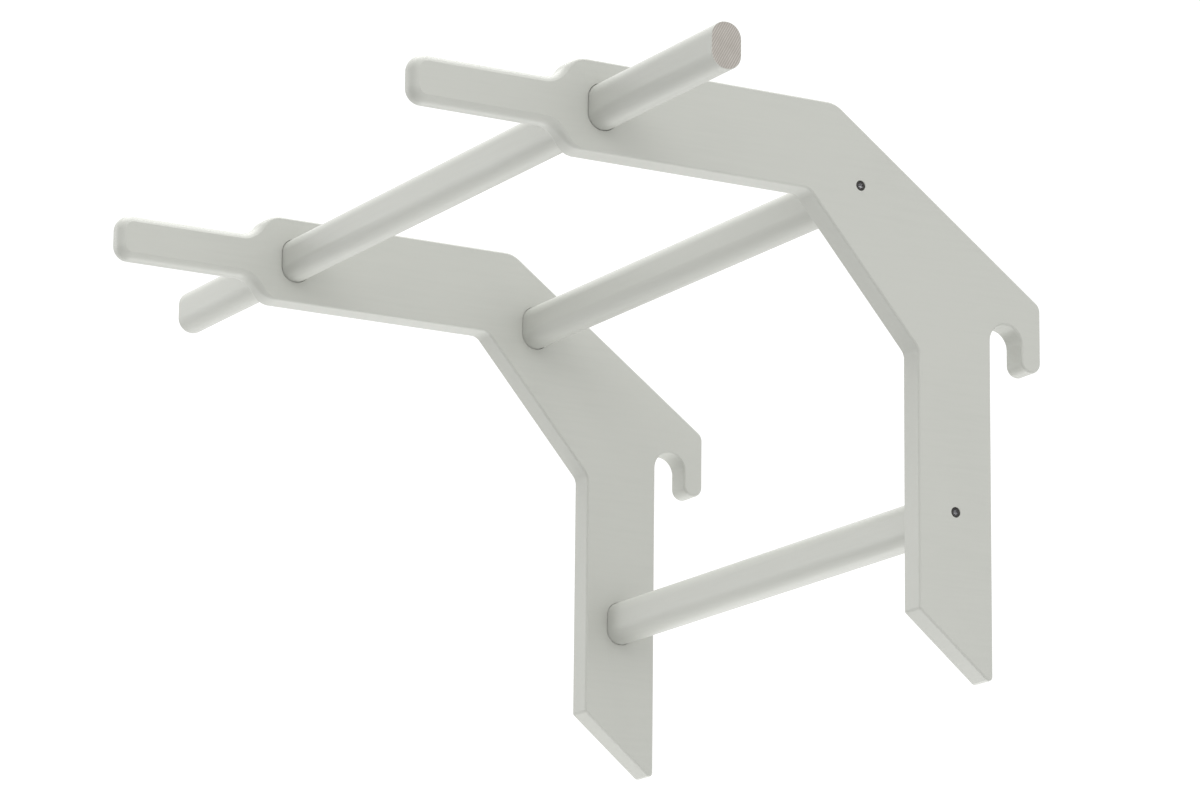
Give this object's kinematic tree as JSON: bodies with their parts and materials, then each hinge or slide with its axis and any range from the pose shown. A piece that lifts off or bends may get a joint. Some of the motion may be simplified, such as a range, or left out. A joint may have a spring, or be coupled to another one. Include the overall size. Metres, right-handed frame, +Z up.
{
  "type": "hook-on pull-up bar frame for wall bars",
  "caption": "Rigid wooden frame that hooks over a wall-bar rung and leans on lower rungs, holding a long pull-up bar and forward hand grips out from the wall.",
  "frame": {"origin": "axis of the two half-round hook seats, halfway between the side plates", "axes": "+X along the bars from left to right plate, +Y towards the wall, -Y out into the room, +Z up"},
  "size_m": [1, 0.616, 0.4876],
  "materials": {
    "painted_wood_plate": "satin light grey paint",
    "painted_wood_bar": "satin light grey paint, bare end grain at the cut ends",
    "dark_steel": "blackened",
    "insert_brass": "plain",
    "zinc_steel": "zinc plated"
  },
  "bodies": {
    "root": {"side_plate_left": "painted_wood_plate", "side_plate_right": "painted_wood_plate", "front_bar": "painted_wood_bar", "upper_stretcher": "painted_wood_bar", "lower_stretcher": "painted_wood_bar", "bolt_upper_left": "dark_steel", "bolt_upper_right": "dark_steel", "bolt_lower_left": "dark_steel", "bolt_lower_right": "dark_steel", "insert_upper_left": "insert_brass", "insert_upper_right": "insert_brass", "insert_lower_left": "insert_brass", "insert_lower_right": "insert_brass", "lock_screw_left": "zinc_steel", "lock_screw_right": "zinc_steel"}
  },
  "joints": []
}
